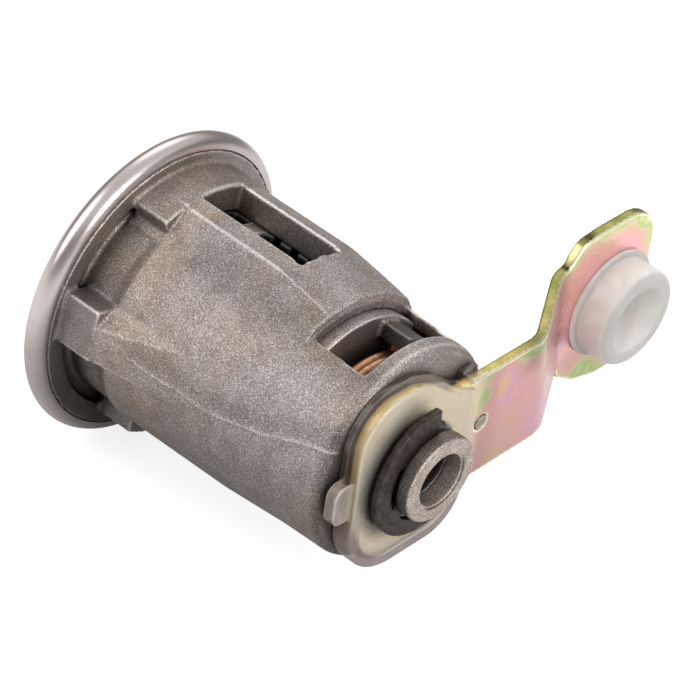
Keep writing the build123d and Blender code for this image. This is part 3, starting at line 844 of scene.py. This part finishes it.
torsion_spring()
for number in range(1, 6):
    wafer_coil(number)
finish_node("shutter_spring", SPRING_STEEL)


# ---- floor, light and camera ------------------------------------------------------------------


FLOOR_REACH = 3.0
# Place in Y under the object's middle, and how far from there the floor's glow to glossy rays is
# graded, painted darker near the object
FLOOR_MIDDLE = 17.0 * MM
FLOOR_GRADED = 100.0 * MM
FLOOR_GLOW = 0.82


def studio_floor():
    """Plain pale floor under the object, white to the camera but for the object's shadow."""
    height = cad_box[0].z
    corners = [(x * FLOOR_REACH, y * FLOOR_REACH, height)
               for x, y in ((-1, -1), (1, -1), (1, 1), (-1, 1))]
    mesh = bpy.data.meshes.new("floor")
    mesh.from_pydata(corners, [], [(0, 1, 2, 3)])
    floor = new_piece("floor", mesh)
    finish = Finish("pale floor")
    tree = finish.tree
    paper = finish.noise(40, 3.0)
    finish.set(Base_Color=finish.ramp(paper, (0.3, 0.46), (0.7, 0.48)), Roughness=0.9)
    finish.shader.inputs["Specular IOR Level"].default_value = 0.0
    path = finish.node("ShaderNodeLightPath")
    seen = finish.math("MAXIMUM", path.outputs["Is Camera Ray"],
                       path.outputs["Is Transmission Ray"])
    away = finish.node("ShaderNodeVectorMath", operation="DISTANCE")
    finish.link(finish.place, away.inputs[0])
    away.inputs[1].default_value = (0.0, FLOOR_MIDDLE, height)
    # Painted shade: to glossy rays the floor glows less near the object
    far = finish.ramp(finish.math("DIVIDE", away.outputs["Value"], FLOOR_GRADED),
                      (0.12, 0.06), (0.35, 0.22), (0.60, 0.62), (0.90, 0.60))
    gloss = finish.math("MULTIPLY", path.outputs["Is Glossy Ray"], far)
    glow = finish.node("ShaderNodeEmission")
    finish.link(finish.math("ADD", finish.math("MULTIPLY", seen, FLOOR_GLOW), gloss),
                glow.inputs["Strength"])
    both = finish.node("ShaderNodeAddShader")
    tree.links.new(glow.outputs[0], both.inputs[0])
    tree.links.new(finish.shader.outputs[0], both.inputs[1])
    tree.links.new(both.outputs[0], tree.nodes["Material Output"].inputs["Surface"])
    mesh.materials.append(finish.material)


# Brightness of the surroundings at heights from the horizon to straight above
SKY = ((0.0, 0.40), (0.25, 0.26), (0.45, 0.30), (0.62, 0.92), (0.9, 0.80))


def studio_world():
    """Soft surroundings: white to the camera, and a plain gradient to light and gloss."""
    world = bpy.data.worlds.new("studio")
    scene.world = world
    world.use_nodes = True
    tree = world.node_tree
    soft = tree.nodes["Background"]
    output = tree.nodes["World Output"]
    place = tree.nodes.new("ShaderNodeTexCoord")
    split = tree.nodes.new("ShaderNodeSeparateXYZ")
    tree.links.new(place.outputs["Generated"], split.inputs[0])
    ramp = tree.nodes.new("ShaderNodeValToRGB")
    tree.links.new(split.outputs["Z"], ramp.inputs["Fac"])
    set_stops(ramp, [(position, (grey, grey * 0.985, grey * 0.965))
                     for position, grey in SKY])
    tree.links.new(ramp.outputs["Color"], soft.inputs["Color"])
    white = tree.nodes.new("ShaderNodeBackground")
    white.inputs["Color"].default_value = (1.0, 1.0, 1.0, 1.0)
    path = tree.nodes.new("ShaderNodeLightPath")
    seen = tree.nodes.new("ShaderNodeMath")
    seen.operation = "MAXIMUM"
    tree.links.new(path.outputs["Is Camera Ray"], seen.inputs[0])
    tree.links.new(path.outputs["Is Transmission Ray"], seen.inputs[1])
    blend = tree.nodes.new("ShaderNodeMixShader")
    tree.links.new(seen.outputs[0], blend.inputs[0])
    tree.links.new(soft.outputs[0], blend.inputs[1])
    tree.links.new(white.outputs[0], blend.inputs[2])
    tree.links.new(blend.outputs[0], output.inputs["Surface"])


def softbox(name, right, up, back, distance, size, watts):
    """Area light in a direction given along the camera's axes, facing the object."""
    light = bpy.data.lights.new(name, "AREA")
    light.shape = "DISK"
    light.size = size
    light.energy = watts
    lamp = bpy.data.objects.new(name, light)
    scene.collection.objects.link(lamp)
    direction = (CAMERA_RIGHT * right + CAMERA_UP * up + CAMERA_BACK * back).normalized()
    lamp.location = CAMERA_TARGET + direction * distance
    lamp.rotation_mode = "QUATERNION"
    lamp.rotation_quaternion = direction.to_track_quat("Z", "Y")


def photo_camera():
    """Camera at the photograph's place, direction and roll."""
    camera = bpy.data.cameras.new("camera")
    camera.sensor_width = CAMERA_SENSOR
    camera.lens = CAMERA_LENS
    camera.clip_start = 0.01
    camera.clip_end = 10.0
    view = bpy.data.objects.new("camera", camera)
    scene.collection.objects.link(view)
    turn = Matrix((CAMERA_RIGHT, CAMERA_UP, CAMERA_BACK)).transposed()
    place = CAMERA_TARGET + CAMERA_BACK * CAMERA_DISTANCE
    view.matrix_world = Matrix.Translation(place) @ turn.to_4x4()
    scene.camera = view


studio_floor()
studio_world()
softbox("key", -0.70, 0.50, 0.52, 0.45, 0.36, 0.76)
softbox("side", 0.66, -0.06, 0.75, 0.50, 0.24, 1.05)
softbox("top", 0.1, 0.95, -0.1, 0.50, 0.35, 0.35)
photo_camera()
scene.view_settings.view_transform = "Standard"
